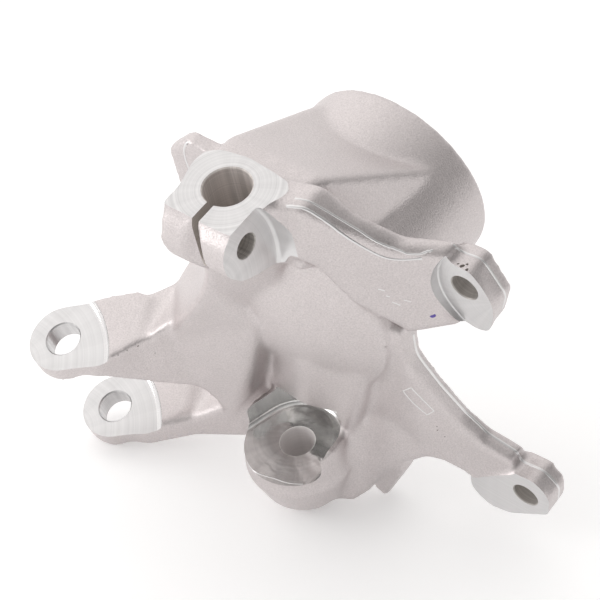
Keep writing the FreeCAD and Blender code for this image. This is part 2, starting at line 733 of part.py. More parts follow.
for item in doc.Objects:
    faults = [state for state in item.State if state in ("Invalid", "Error")]
    if faults:
        raise RuntimeError(f"{item.Name} did not build")
if body.Shape.isNull() or not body.Shape.isValid():
    raise RuntimeError("the knuckle's shape is not valid")
print("solids", len(body.Shape.Solids), "volume", round(body.Shape.Volume), "faces", len(body.Shape.Faces))

# Lay the knuckle down: the wheel axis stays in the YZ plane and the lowest point touches the table
tilt_back = FreeCAD.Rotation(FreeCAD.Vector(1, 0, 0), size("Sizes.rest_pitch"))
roll_over = FreeCAD.Rotation(FreeCAD.Vector(0, 1, 0), size("Sizes.rest_roll"))
turn = tilt_back.multiply(roll_over)
body.Placement = FreeCAD.Placement(FreeCAD.Vector(0, 0, 0), turn)
box = body.Shape.optimalBoundingBox(False)
body.Placement = FreeCAD.Placement(FreeCAD.Vector(-box.Center.x, -box.Center.y, -box.ZMin), turn)
doc.recompute()
print("origin of the drawing now at", body.Placement.Base)

os.makedirs("parts", exist_ok=True)
for item in [body]:
    item.Shape.exportStep(f"parts/{item.Label}.step")
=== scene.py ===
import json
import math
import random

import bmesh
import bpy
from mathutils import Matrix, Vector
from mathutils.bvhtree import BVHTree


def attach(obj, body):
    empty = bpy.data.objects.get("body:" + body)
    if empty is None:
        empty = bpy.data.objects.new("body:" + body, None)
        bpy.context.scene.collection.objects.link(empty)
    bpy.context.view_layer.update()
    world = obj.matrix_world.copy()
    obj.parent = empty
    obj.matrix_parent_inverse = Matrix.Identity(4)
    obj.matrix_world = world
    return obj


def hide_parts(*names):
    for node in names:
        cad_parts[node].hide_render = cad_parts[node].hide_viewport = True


bl_info = {
    "name": "Steering Knuckle",
    "version": (1, 0, 0),
    "blender": (4, 5, 0),
    "location": "View3D > Sidebar > Knuckle",
    "description": "Dresses a forged steering knuckle: blended forging, machined faces and studio",
    "category": "Object",
}

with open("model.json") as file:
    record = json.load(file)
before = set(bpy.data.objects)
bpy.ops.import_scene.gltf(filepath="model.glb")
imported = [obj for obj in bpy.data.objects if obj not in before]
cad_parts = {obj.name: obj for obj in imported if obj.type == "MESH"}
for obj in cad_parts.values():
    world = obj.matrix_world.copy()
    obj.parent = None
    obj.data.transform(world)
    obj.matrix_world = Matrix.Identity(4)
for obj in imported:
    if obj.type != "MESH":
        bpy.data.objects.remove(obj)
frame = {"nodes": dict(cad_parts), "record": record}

NODE = "knuckle_body"
MM = 0.001

# Sizes in millimetres on the knuckle's own axes: X towards the caliper arms, Y along the wheel axis away
# from the car, Z up the line between the two ball joints.
BEARING_MIDDLE_Y = 66.8
RIM_Y = 91.0
CLAMP_TOP = 78.3
CLAMP_OUTLINE = (
    (-16.2, -17.5), (-15.6, -9.3), (-19.0, 3.2), (-18.2, 9.9), (-12.9, 13.5), (-1.2, 15.1), (11.5, 13.6),
    (17.0, 11.2), (18.7, 8.0), (17.3, -1.5), (15.7, -9.3), (15.7, -17.5),
)
JAW_OUTLINE = (
    (-17.6, 78.3), (-22.4, 74.8), (-24.6, 71.0), (-25.1, 67.0), (-24.3, 62.0), (-22.0, 58.2), (-18.0, 53.2),
    (-10.8, 49.2), (6.0, 43.0), (9.0, 43.0), (9.0, 78.3),
)
CLAMP_MILLED = ((-34, -32), (34, 22))
STUD_RADIUS = 9.25
STUD_CHAMFER = 0.5
STUD_END = 46.0
PINCH = (-12.0, 66.5)
PINCH_RADIUS = 5.0
PINCH_CHAMFER = 0.35
SPOT_X = 15.5
SPOT_CENTRE = (-48.4, 56.4)
SPOT_SWEEP = 51.0
SPOT_CORNER = 1.6
SPOT_HEIGHT = 9.5
SLIT = (-1.9, 1.3)
SLIT_FLOOR = 42.8
CLEVIS_TILT = 11.3
CLEVIS_HOLE = (-89.6, -36.2)
CLEVIS_RADIUS = 7.2
CLEVIS_EAR = 14.8
CLEVIS_THICK = 9.5
CLEVIS_CHAMFER = 0.5
CLEVIS_CORNER = 3.2
CLEVIS_TOPS = (-26.1, -88.1)
CLEVIS_SWEEPS = ((-104.0, -60.0, 47.0), (-105.9, -63.7, 52.0))
CLEVIS_PAD = (
    (-98.4, -46.4), (-88.7, -50.6), (-83.0, -49.2), (-67.5, -39.3), (-61.5, -31.5), (-56.5, -22.5),
    (-64.5, -5.0), (-72.1, -3.9), (-80.6, -10.4), (-89.3, -17.7), (-98.2, -24.1), (-103.4, -30.5),
)
EAR_FACE_Y = 30.0
EAR_THICK = 13.0
EARS = ((77.2, 35.2), (91.6, -87.1))
UPPER_EAR = (
    (66.3, 41.2), (68.3, 43.6), (72.2, 46.0), (76.0, 46.2), (81.0, 45.4), (86.0, 39.0), (89.0, 31.0),
    (88.4, 24.0), (86.4, 17.0), (84.0, 14.2), (77.9, 13.6), (70.5, 18.5), (66.6, 26.0),
)
LOWER_EAR = (
    (63.6, -94.0), (69.6, -87.0), (80.1, -79.8), (88.5, -74.9), (96.0, -74.3), (101.0, -77.6), (103.3, -84.0),
    (101.8, -93.0), (92.6, -99.6), (82.1, -106.8), (73.0, -108.6), (67.0, -105.4), (64.0, -100.6),
)
UPPER_SWEEP = (90.7, 34.5, 25.2)
LOWER_SWEEP = (
    (67.4, -89.0), (64.2, -91.4), (60.5, -94.5), (58.5, -99.0), (60.0, -104.0), (66.0, -110.0), (74.0, -114.0),
    (112.0, -114.0), (112.0, -66.0), (92.0, -66.0), (90.0, -73.4), (80.1, -79.6),
)
CALIPER_RADIUS = 5.6
CALIPER_CHAMFER = 0.4
CALIPER_CORNER = 0.8
# Height of the room over a milled face, and the depth of its finishing cut
SWEEP_HEIGHT = 12.0
FINISH_CUT = 0.02
POCKET_FLOOR = -78.3
POCKET_RADIUS = 20.0
POCKET_CORNER = 3.0
POCKET_TOP = -60.0
POCKET_TOP_TILT = 0.3
COLUMN = (0.6, -73.0, -24.0)
COLUMN_AT = (-20.5, 14.0)
COLUMN_TOP_RADIUS = 6.0
COLUMN_FOOT = ((-24.0, 14.0), (-12.0, 10.0), (0.0, 7.0), (0.0, 24.0), (-24.0, 24.0))
POCKET_PATH = ((0.2, 0.2), (-8.0, -24.0), (-0.4, -24.0))
# Flared web between the boss and the lower arm, as stations of X with Y and Z of the lower and upper edge
WEB = (
    (14.0, -2.0, -108.5, 2.0, -77.5), (22.0, 1.5, -108.5, 6.0, -77.0), (25.5, 7.5, -107.0, 13.0, -68.0),
    (31.0, 10.5, -95.0, 16.5, -58.0), (38.0, 13.0, -85.5, 18.5, -52.0), (50.0, 18.0, -77.5, 21.5, -50.0),
)
WEB_BACK = 25.0
# Front of the spine's flat panel, its ridge and the gusset below the upper clevis arm
PANELS = (
    ((-18.0, -8.0, 19.0), (-28.3, -8.5, -0.3), (-50.1, -9.0, -31.1), (-13.5, -3.5, 4.6), (-7.1, 0.5, -8.2)),
    (
        (-50.1, -9.0, -31.1), (-7.1, 0.5, -8.2), (-9.3, 2.0, -22.0), (-16.6, 3.0, -44.2), (-26.0, 4.5, -69.0),
        (-45.0, -6.5, -48.0), (-41.5, -4.0, -68.0), (-38.0, -1.0, -88.0),
    ),
    ((-50.0, -9.5, -30.0), (-46.0, -7.0, -62.0), (-40.5, -3.0, -75.0), (-44.0, -6.0, -50.0)),
)
PANEL_BACK = 14.0
# Valley between the two jaws, seen from above: X, Y
JAW_VALLEY = ((-0.3, -17.2), (-11.0, -30.0), (10.0, -30.0))
LOWER_BORE = 7.35
LOWER_CHAMFER = 0.3
FOOT_Z = -110.0
# Bearing seat with its snap ring groove and mouth: radius and Y
BEARING_SEAT = (
    (0.0, 24.0), (31.0, 24.0), (31.0, 49.0), (36.0, 49.0), (36.0, 84.6), (37.8, 84.6), (37.8, 87.0),
    (36.0, 87.0), (36.0, 90.4), (37.0, 91.4), (37.0, 100.0), (0.0, 100.0),
)
# Plugs that fill the bores and the pocket before machining: radius, then the low and the high end
HOUSING_PLUG = (38.2, 23.5, RIM_Y - 0.2)
POCKET_PLUG = (POCKET_RADIUS + 0.9, POCKET_FLOOR - 0.6, POCKET_TOP - 9)
POCKET_RING = (POCKET_RADIUS + 2.6, -4.0)
NECK_PLUG = (22.4, POCKET_FLOOR - 3, POCKET_FLOOR + 3.6)
LOWER_PLUG = (LOWER_BORE + 0.4, FOOT_Z + 0.2, POCKET_FLOOR + 1)
STUD_PLUG = (STUD_RADIUS + 0.5, STUD_END - 1, CLAMP_TOP + 3)
PINCH_PLUG = (PINCH_RADIUS + 0.4, -16.0, SPOT_X)

# Flash seams, the pocket's bright edge and scratches: width, height, then points near the skin
SEAMS = (
    (0.9, 0.28, (
        (24, 3.5, 77.3), (30.8, 6.2, 76.8), (37.3, 8.9, 70.1), (44.2, 11.8, 61.2), (51.6, 16.7, 52.1),
        (57, 20, 49.5), (64.2, 24.6, 49.5),
    )),
    (0.7, 0.22, (
        (25, 7.5, 78), (32.5, 10.3, 75.6), (40.8, 13.9, 67.4), (49.6, 18.6, 57.1), (58.7, 24.3, 50.9),
        (66, 29, 50.5),
    )),
    (0.8, 0.25, (
        (70, 34.5, 50), (73.5, 36.4, 46.2), (81.9, 37.6, 44.6), (86.4, 38.1, 35.6), (88.4, 38.3, 29),
        (87, 38.5, 20),
    )),
    (0.9, 0.25, (
        (51.3, 26.3, -4.2), (51.3, 26.1, -11.5), (52.8, 26.2, -18.3), (55.6, 27.4, -26.9), (59, 28.9, -36),
        (62.3, 30.7, -44.4), (65.8, 32.5, -52.9), (69.8, 33.9, -59.2), (76, 35, -64.4), (85, 36, -68.9),
        (90, 36.4, -74.5), (96, 36.7, -74), (100.8, 37.3, -78.9), (103, 37.4, -85), (102, 37.5, -92),
    )),
    (0.8, 0.3, ((-35.6, 17, 68.1), (-38.2, 17, 61.9), (-38.8, 17, 56.1), (-38, 17, 48))),
    (0.5, 0.12, (
        (-13, -20.4, -78.3), (-5, -21.3, -78.3), (3.1, -19.8, -78.3), (9.5, -18.6, -78.3), (14.9, -16, -78.3),
    )),
    (0.5, 0.14, ((48.9, 15, 33.7), (50.9, 16.3, 32.4))),
    (0.45, 0.12, ((50.9, 16.3, 29.5), (52.1, 17, 28.8))),
    (0.45, 0.12, ((52.4, 17.2, 25.8), (54.8, 18.8, 23.6))),
    (0.4, 0.12, ((56.2, 19.7, 26.6), (58.3, 21, 25.4))),
)
# A ridge's section across its line, in widths and heights, and how it tapers at its ends
RIDGE_SECTION = ((-0.7, -0.3), (-0.45, 0.55), (-0.15, 1.0), (0.15, 1.0), (0.45, 0.55), (0.7, -0.3))
RIDGE_TIP = 0.25
RIDGE_TAPER = 3
DIE_FRAME = ((47.4, 18.4, -33.6), (51.5, 18.9, -29.4), (58.1, 22.3, -44), (55.3, 20.9, -46.8))
DIE_FRAME_WIDTH = 0.45
DIE_FRAME_HEIGHT = 0.22
INK = (64.4, 24.7, 16.9)
INK_RADIUS = 1.3
INK_SEED = 5
# A blot's corners, their uneven reach, its flatness and the rise of its middle
BLOT_CORNERS = 9
BLOT_REACH = (0.55, 1.15)
BLOT_FLAT = 0.7
BLOT_RISE = 0.02
# Small dark specks laid as flat dark blots on the skin: X, Y, Z and radius
DARK_SPECKS = (
    (76.8, 31, 46.3, 1.1), (79.2, 30.6, 46, 0.8), (75, 31.1, 46.3, 0.5), (78, 32.6, 46.3, 0.7),
    (58.1, 22.3, -54.3, 0.35), (58, 22.3, -56.7, 0.4), (60.3, 23.4, -60.9, 0.35),
    (-63, -25.8, -31, 0.4), (-60.5, -22.7, -30.4, 0.35), (-57.6, -19, -30, 0.5), (-53.6, -15, -36.6, 0.3),
)

HOLLOW_PASSES = 3
HOLLOW_FULL = 0.02
SMOOTHING = 0.5
SHARP_ANGLE = 28

# Camera of the photograph on the same axes: where it stands and its three directions
EYE = (415.7, -356.0, 646.6)
EYE_RIGHT = (0.7892, 0.593, -0.1599)
EYE_UP = (-0.3805, 0.6764, 0.6306)
EYE_BACK = (0.4821, -0.4368, 0.7595)
LENS = 132.0
SENSOR = 36.0
NEAR_CLIP = 0.01

# Studio: the bright side of the room, its level away from and at that side, how far the floor is lifted to
# white, and the floor's reach. Lamps as name, place, size in metres and power.
BRIGHT_SIDE = (-0.88, 0.10, 0.42)
SKY_LEVELS = (0.04, 1.34)
FLOOR_LIFT = 0.24
FLOOR_REACH = 6.0
SKY_COLOUR = (1.0, 0.985, 0.975)
LAMPS = (
    ("Key", (-1.0, -0.95, 0.55), 0.7, 4.0),
)


def own_axes():
    """The matrix from the knuckle's own axes in millimetres to the frame in metres, read from the mounts."""
    mounts = {mount["name"]: mount for mount in frame["record"]["mounts"]}
    out = Vector(mounts["wheel_bearing"]["axis"]).normalized()
    up = Vector(mounts["upper_ball_joint"]["axis"])
    up = (up - out * up.dot(out)).normalized()
    side = out.cross(up).normalized()
    origin = Vector(mounts["wheel_bearing"]["pos_m"]) - out * BEARING_MIDDLE_Y * MM
    turn = Matrix((side, out, up)).transposed().to_4x4()
    return Matrix.Translation(origin) @ turn @ Matrix.Scale(MM, 4)


OWN = own_axes()
CLEVIS = Matrix.Rotation(math.radians(CLEVIS_TILT), 4, "X")
ALONG_Y = Matrix.Rotation(math.radians(-90), 4, "X")
AGAINST_Y = Matrix.Rotation(math.radians(90), 4, "X")
SIDEWAYS = Matrix(((0, 0, 1, 0), (1, 0, 0, 0), (0, 1, 0, 0), (0, 0, 0, 1)))


class KnuckleSizes(bpy.types.PropertyGroup):
    """Sizes of the forging's skin."""

    grid: bpy.props.FloatProperty(
        name="Grid", description="Grid of the forging's skin", default=0.00125,
        min=0.0008, max=0.004, subtype="DISTANCE", unit="LENGTH",
    )
    blend_steps: bpy.props.IntProperty(
        name="Blend", description="Smoothing steps that round the forging's edges", default=7, min=0, max=80,
    )
    hollow_steps: bpy.props.IntProperty(
        name="Hollow blend", description="Extra smoothing steps in the hollows", default=4, min=0, max=200,
    )


class KnuckleFinish(bpy.types.PropertyGroup):
    """Colours and roughness."""

    skin_colour: bpy.props.FloatVectorProperty(
        name="Forged skin", description="Colour of the blasted forging", subtype="COLOR",
        size=3, default=(0.66, 0.615, 0.612), min=0.0, max=1.0,
    )
    cut_colour: bpy.props.FloatVectorProperty(
        name="Machined metal", description="Colour of the machined faces", subtype="COLOR",
        size=3, default=(0.76, 0.75, 0.75), min=0.0, max=1.0,
    )
    # Painted light: lighter than the machined metal, for the bores and the slot, so that they look lit inside
    bore_colour: bpy.props.FloatVectorProperty(
        name="Bored metal", description="Colour inside the bores and the slot", subtype="COLOR",
        size=3, default=(0.82, 0.775, 0.735), min=0.0, max=1.0,
    )
    skin_roughness: bpy.props.FloatProperty(
        name="Skin roughness", description="Roughness of the blasted forging", default=0.42, min=0.0, max=1.0,
    )


class KnuckleStudio(bpy.types.PropertyGroup):
    """Floor and camera."""

    floor_colour: bpy.props.FloatVectorProperty(
        name="Floor", description="Colour of the floor", subtype="COLOR",
        size=3, default=(0.93, 0.93, 0.93), min=0.0, max=1.0,
    )
    lens: bpy.props.FloatProperty(
        name="Lens", description="Focal length of the camera", default=LENS, min=10.0, max=400.0,
    )


# Shapes on the knuckle's own axes, each as a closed bmesh

def rod(radius, low, high, at=(0.0, 0.0), turn=Matrix.Identity(4), end_radius=None, segments=96):
    """A rod along the turned Z axis."""
    shape = bmesh.new()
    place = turn @ Matrix.Translation((at[0], at[1], (low + high) / 2))
    bmesh.ops.create_cone(
        shape, cap_ends=True, segments=segments, radius1=radius,
        radius2=radius if end_radius is None else end_radius, depth=high - low, matrix=place,
    )
    return shape


def block(low, high, turn=Matrix.Identity(4)):
    """A block between two corners."""
    shape = bmesh.new()
    middle = [(a + b) / 2 for a, b in zip(low, high)]
    size = [b - a for a, b in zip(low, high)]
    place = turn @ Matrix.Translation(middle) @ Matrix.Diagonal((*size, 1.0))
    bmesh.ops.create_cube(shape, size=1.0, matrix=place)
    return shape


def slab(outline, low, high, turn=Matrix.Identity(4)):
    """A plate with that outline in the turned XY plane."""
    shape = bmesh.new()
    corners = [shape.verts.new((x, y, low)) for x, y in outline]
    face = shape.faces.new(corners)
    grown = bmesh.ops.extrude_face_region(shape, geom=[face])["geom"]
    tops = [item for item in grown if isinstance(item, bmesh.types.BMVert)]
    bmesh.ops.translate(shape, verts=tops, vec=(0, 0, high - low))
    bmesh.ops.transform(shape, matrix=turn, verts=shape.verts)
    bmesh.ops.recalc_face_normals(shape, faces=shape.faces)
    return shape


def turned(profile, turn=Matrix.Identity(4), segments=128):
    """A solid of revolution about the turned Z axis, from points of radius and height."""
    shape = bmesh.new()
    points = [shape.verts.new((radius, 0, height)) for radius, height in profile]
    edges = [shape.edges.new(pair) for pair in zip(points, points[1:])]
    bmesh.ops.spin(
        shape, geom=points + edges, cent=(0, 0, 0), axis=(0, 0, 1), angle=math.tau,
        steps=segments, use_merge=True, use_duplicate=False,
    )
    bmesh.ops.remove_doubles(shape, verts=shape.verts, dist=1e-5)
    bmesh.ops.recalc_face_normals(shape, faces=shape.faces)
    bmesh.ops.transform(shape, matrix=turn, verts=shape.verts)
    return shape


def hull(points):
    """The smallest convex solid round the points."""
    shape = bmesh.new()
    for point in points:
        shape.verts.new(point)
    found = bmesh.ops.convex_hull(shape, input=shape.verts)["geom_interior"]
    inner = [item for item in found if isinstance(item, bmesh.types.BMVert)]
    bmesh.ops.delete(shape, geom=inner, context="VERTS")
    bmesh.ops.recalc_face_normals(shape, faces=shape.faces)
    return shape


def half_round(radius, front, steps=24):
    """The outline of a disc's rear, cut straight in front."""
    start = math.asin(front / radius)
    sweep = math.pi - 2 * start
    return [
        (radius * math.cos(start + sweep * k / steps), radius * math.sin(start + sweep * k / steps))
        for k in range(steps + 1)
    ]


def backed(points, back):
    """The convex solid between those front points and an upright plane behind them."""
    return hull([*points, *[(x, back, z) for x, y, z in points]])


def web_pieces():
    """The web between the boss and the lower arm, in convex lengths."""
    return [
        backed([corner for x, *edges in pair for corner in ((x, *edges[:2]), (x, *edges[2:]))], WEB_BACK)
        for pair in zip(WEB, WEB[1:])
    ]


def new_object(name, shape, material=None):
    """An object from a bmesh on the knuckle's own axes."""
    bmesh.ops.transform(shape, matrix=OWN, verts=shape.verts)
    mesh = bpy.data.meshes.new(name)
    shape.to_mesh(mesh)
    shape.free()
    if material:
        mesh.materials.append(material)
    item = bpy.data.objects.new(name, mesh)
    bpy.context.scene.collection.objects.link(item)
    return item


def settle(item):
    """Applies the object's modifiers to its mesh."""
    graph = bpy.context.evaluated_depsgraph_get()
    mesh = bpy.data.meshes.new_from_object(item.evaluated_get(graph))
    old = item.data
    item.modifiers.clear()
    item.data = mesh
    bpy.data.meshes.remove(old)


def swept(x, y, low, radius, corner, height, turn=Matrix.Identity(4)):
    """The room that a face cutter sweeps: a disc with a rounded lower edge."""
    profile = [(0.0, low), (radius - corner, low)]
    for step in range(1, 13):
        angle = math.radians(90 * step / 12)
        profile.append((radius - corner + corner * math.sin(angle), low + corner - corner * math.cos(angle)))
    profile += [(radius, low + height), (0.0, low + height)]
    return turned(profile, turn @ Matrix.Translation((x, y, 0)), segments=256)


def drilled(radius, low, high, chamfer, at, turn, mouth_low=None, mouth_high=None):
    """A drilled hole whose mouths are chamfered."""
    profile = [(0.0, low), (radius, low)]
    if mouth_low is not None:
        profile[1:] = [(radius + chamfer + 1, low), (radius + chamfer + 1, mouth_low - 1)]
        profile.append((radius, mouth_low + chamfer))
    if mouth_high is not None:
        profile += [(radius, mouth_high - chamfer), (radius + chamfer + 1, mouth_high + 1)]
        profile += [(radius + chamfer + 1, high)]
    else:
        profile.append((radius, high))
    profile.append((0.0, high))
    return turned(profile, turn @ Matrix.Translation((at[0], at[1], 0)), segments=96)


# The forging before machining: the frame's solid with its bores and machined faces filled

def stock():
    """Plugs and pads that machining takes away again."""
    shapes = [
        rod(*HOUSING_PLUG, turn=ALONG_Y),
        rod(*POCKET_PLUG),
        slab(half_round(*POCKET_RING), POCKET_FLOOR - 0.6, POCKET_TOP - 7.0),
        rod(*COLUMN, at=COLUMN_AT, end_radius=COLUMN_TOP_RADIUS),
        slab(COLUMN_FOOT, POCKET_TOP - 8.0, POCKET_TOP + 3.0),
        rod(*NECK_PLUG),
        rod(*LOWER_PLUG),
        rod(*STUD_PLUG),
        slab(CLAMP_OUTLINE, CLAMP_TOP - 12, CLAMP_TOP + 4),
        slab(JAW_OUTLINE, SLIT[0] - 1, SPOT_X + 3.2, SIDEWAYS),
        rod(*PINCH_PLUG, at=PINCH, turn=SIDEWAYS),
        *web_pieces(),
        *[backed(front, PANEL_BACK) for front in PANELS],
    ]
    for top in CLEVIS_TOPS:
        shapes.append(rod(CLEVIS_EAR, top - CLEVIS_THICK + 0.2, top + 3.5, at=CLEVIS_HOLE, turn=CLEVIS))
        shapes.append(slab(CLEVIS_PAD, top - 5, top + 2.6, CLEVIS))
    for outline in (UPPER_EAR, LOWER_EAR):
        flat = [(x, -z) for x, z in outline]
        if outline is UPPER_EAR:
            flat = [(point.x, point.y) for point in smooth_line([(x, z, 0) for x, z in flat], 1.5, True)]
        shapes.append(slab(flat, EAR_FACE_Y - 3.0, EAR_FACE_Y + 2, ALONG_Y))
    for x, z in EARS:
        ends = (EAR_FACE_Y - 2, EAR_FACE_Y + EAR_THICK - 0.4)
        shapes.append(rod(CALIPER_RADIUS + 1, *ends, at=(x, -z), turn=ALONG_Y))
    return shapes


def machining(cut, bore, pocket):
    """The cutters, each with the finish it leaves."""
    upright = Matrix.Identity(4)
    near, far = CLAMP_MILLED
    stud = drilled(STUD_RADIUS, STUD_END, 90.0, STUD_CHAMFER, (0, 0), upright, None, CLAMP_TOP)
    cuts = [
        (block((*near, CLAMP_TOP), (*far, CLAMP_TOP + SWEEP_HEIGHT)), cut["clamp"]),
        (swept(*SPOT_CENTRE, SPOT_X, SPOT_SWEEP, SPOT_CORNER, SPOT_HEIGHT, SIDEWAYS), cut["spot"]),
        (stud, bore["stud"]),
        (block((SLIT[0], -30.0, SLIT_FLOOR), (SLIT[1], 0.0, CLAMP_TOP + 13)), cut["slot"]),
        (drilled(PINCH_RADIUS, -30.0, 40.0, PINCH_CHAMFER, PINCH, SIDEWAYS, None, SPOT_X), bore["pinch"]),
    ]
    for top, (x, y, reach) in zip(CLEVIS_TOPS, CLEVIS_SWEEPS):
        cuts.append((swept(x, y, top, reach, CLEVIS_CORNER, SWEEP_HEIGHT, CLEVIS), cut["groove"]))
        ends = (top - FINISH_CUT, top + SWEEP_HEIGHT)
        face = rod(reach - CLEVIS_CORNER, *ends, at=(x, y), turn=CLEVIS, segments=256)
        cuts.append((face, cut["clevis"]))
    for top in CLEVIS_TOPS:
        ends = (top - CLEVIS_THICK - 8, top + 8)
        hole = drilled(CLEVIS_RADIUS, *ends, CLEVIS_CHAMFER, CLEVIS_HOLE, CLEVIS, None, top)
        cuts.append((hole, bore["clevis"]))
    x, y, reach = UPPER_SWEEP
    face = swept(x, y, -EAR_FACE_Y, reach, CALIPER_CORNER, SWEEP_HEIGHT, AGAINST_Y)
    cuts.append((face, cut["caliper"]))
    face = slab(LOWER_SWEEP, -EAR_FACE_Y, -EAR_FACE_Y + SWEEP_HEIGHT, AGAINST_Y)
    cuts.append((face, cut["caliper"]))
    ends = (EAR_FACE_Y, EAR_FACE_Y + EAR_THICK)
    for x, z in EARS:
        hole = drilled(CALIPER_RADIUS, 20.0, 60.0, CALIPER_CHAMFER, (x, -z), ALONG_Y, *ends)
        cuts.append((hole, bore["caliper"]))
    bowl = [(0.0, POCKET_FLOOR)]
    for step in range(9):
        angle = math.radians(90 * step / 8)
        bowl.append((
            POCKET_RADIUS - POCKET_CORNER * (1 - math.sin(angle)),
            POCKET_FLOOR + POCKET_CORNER * (1 - math.cos(angle)),
        ))
    bowl += [(POCKET_RADIUS, POCKET_TOP), (0.0, POCKET_TOP)]
    disc = turned(bowl, segments=96)
    for vert in disc.verts:
        if vert.co.z > POCKET_TOP - 1:
            vert.co.z += vert.co.x * POCKET_TOP_TILT
    path = [vert.co + Vector((x, y, 0)) for x, y in POCKET_PATH for vert in disc.verts]
    disc.free()
    cuts.append((hull(path), pocket))
    hole = drilled(LOWER_BORE, -125.0, -70.0, LOWER_CHAMFER, (0, 0), upright, None, POCKET_FLOOR)
    cuts.append((hole, bore["lower"]))
    cuts.append((turned(BEARING_SEAT, turn=ALONG_Y), bore["bearing"]))
    return cuts


def ride_along(item):
    """Lets a new piece ride with the knuckle."""
    item.data.shade_smooth()
    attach(item, "root")


def hollow_blend(item, sizes):
    """Rounds the hollows further than the outer edges, as a forging die does."""
    shape = bmesh.new()
    shape.from_mesh(item.data)
    shape.normal_update()
    bend = [0.0] * len(shape.verts)
    for vert in shape.verts:
        ring = [edge.other_vert(vert).co for edge in vert.link_edges]
        middle = sum(ring, Vector()) / len(ring)
        bend[vert.index] = (middle - vert.co).dot(vert.normal)
    links = [[edge.other_vert(vert).index for edge in vert.link_edges] for vert in shape.verts]
    shape.free()
    for _ in range(HOLLOW_PASSES):
        bend = [(bend[i] + sum(bend[k] for k in near)) / (1 + len(near)) for i, near in enumerate(links)]
    group = item.vertex_groups.new(name="Hollows")
    full = sizes.grid * HOLLOW_FULL
    for index, value in enumerate(bend):
        if value > 0:
            group.add([index], min(value / full, 1.0), "REPLACE")
    soften = item.modifiers.new("Hollow blend", "SMOOTH")
    soften.factor = SMOOTHING
    soften.iterations = sizes.hollow_steps
    soften.vertex_group = "Hollows"
    settle(item)


def crisp(mesh):
    """Smooth shading with sharp edges at machined borders."""
    mesh.shade_smooth()
    mesh.set_sharp_from_angle(angle=math.radians(SHARP_ANGLE))
    users = {}
    for face in mesh.polygons:
        for pair in face.edge_keys:
            users.setdefault(pair, []).append(face.index)
    sharp = mesh.attributes.get("sharp_edge") or mesh.attributes.new("sharp_edge", "BOOLEAN", "EDGE")
    faces = mesh.polygons
    for edge in mesh.edges:
        pair = users.get(tuple(sorted(edge.vertices)), [])
        if len(pair) == 2 and faces[pair[0]].material_index != faces[pair[1]].material_index:
            sharp.data[edge.index].value = True


def join(items):
    """Joins meshes into the first."""
    base = items[0]
    with bpy.context.temp_override(active_object=base, selected_editable_objects=items, object=base):
        bpy.ops.object.join()
    return base


# Finishes

def nodes_of(material):
    """Clears a material and returns its tree and Principled shader."""
    material.use_nodes = True
    tree = material.node_tree
    tree.nodes.clear()
    output = tree.nodes.new("ShaderNodeOutputMaterial")
    shader = tree.nodes.new("ShaderNodeBsdfPrincipled")
    tree.links.new(shader.outputs["BSDF"], output.inputs["Surface"])
    return tree, shader


def grain_group():
    """Shared group: fine grain of blasted metal."""
    group = bpy.data.node_groups.get("Blasted grain")
    if group:
        return group
    group = bpy.data.node_groups.new("Blasted grain", "ShaderNodeTree")
    sockets = group.interface
    sockets.new_socket("Position", in_out="INPUT", socket_type="NodeSocketVector")
    scale = sockets.new_socket("Grain scale", in_out="INPUT", socket_type="NodeSocketFloat")
    scale.default_value = 1600.0
    sockets.new_socket("Grain", in_out="OUTPUT", socket_type="NodeSocketFloat")
    sockets.new_socket("Patches", in_out="OUTPUT", socket_type="NodeSocketFloat")
    take = group.nodes.new("NodeGroupInput")
    give = group.nodes.new("NodeGroupOutput")
    fine = group.nodes.new("ShaderNodeTexNoise")
    fine.inputs["Detail"].default_value = 3.0
    coarse = group.nodes.new("ShaderNodeTexNoise")
    coarse.inputs["Scale"].default_value = 38.0
    coarse.inputs["Detail"].default_value = 5.0
    coarse.inputs["Roughness"].default_value = 0.6
    link = group.links.new
    link(take.outputs["Position"], fine.inputs["Vector"])
    link(take.outputs["Grain scale"], fine.inputs["Scale"])
    link(take.outputs["Position"], coarse.inputs["Vector"])
    link(fine.outputs["Fac"], give.inputs["Grain"])
    link(coarse.outputs["Fac"], give.inputs["Patches"])
    return group


def blasted(name, colour, roughness):
    """Blasted forging: satin, with a fine grain and lighter and darker patches."""
    material = bpy.data.materials.new(name)
    tree, shader = nodes_of(material)
    link = tree.links.new
    place = tree.nodes.new("ShaderNodeTexCoord")
    grain = tree.nodes.new("ShaderNodeGroup")
    grain.node_tree = grain_group()
    link(place.outputs["Object"], grain.inputs["Position"])
    tone = tree.nodes.new("ShaderNodeMix")
    tone.data_type = "RGBA"
    tone.inputs["A"].default_value = (*[c * 0.90 for c in colour], 1)
    tone.inputs["B"].default_value = (*[min(c * 1.08, 1.0) for c in colour], 1)
    link(grain.outputs["Patches"], tone.inputs["Factor"])
    speck = tree.nodes.new("ShaderNodeMapRange")
    speck.inputs["From Min"].default_value = 0.3
    speck.inputs["From Max"].default_value = 0.7
    speck.inputs["To Min"].default_value = 0.88
    speck.inputs["To Max"].default_value = 1.08
    link(grain.outputs["Grain"], speck.inputs["Value"])
    dusted = tree.nodes.new("ShaderNodeMix")
    dusted.data_type = "RGBA"
    dusted.blend_type = "MULTIPLY"
    dusted.inputs["Factor"].default_value = 1.0
    link(tone.outputs["Result"], dusted.inputs["A"])
    link(speck.outputs["Result"], dusted.inputs["B"])
    link(dusted.outputs["Result"], shader.inputs["Base Color"])
    rough = tree.nodes.new("ShaderNodeMapRange")
    rough.inputs["To Min"].default_value = roughness - 0.06
    rough.inputs["To Max"].default_value = roughness + 0.08
    link(grain.outputs["Patches"], rough.inputs["Value"])
    link(rough.outputs["Result"], shader.inputs["Roughness"])
    bump = tree.nodes.new("ShaderNodeBump")
    bump.inputs["Strength"].default_value = 0.7
    bump.inputs["Distance"].default_value = 0.00025
    link(grain.outputs["Grain"], bump.inputs["Height"])
    link(bump.outputs["Normal"], shader.inputs["Normal"])
    shader.inputs["Metallic"].default_value = 1.0
    return material


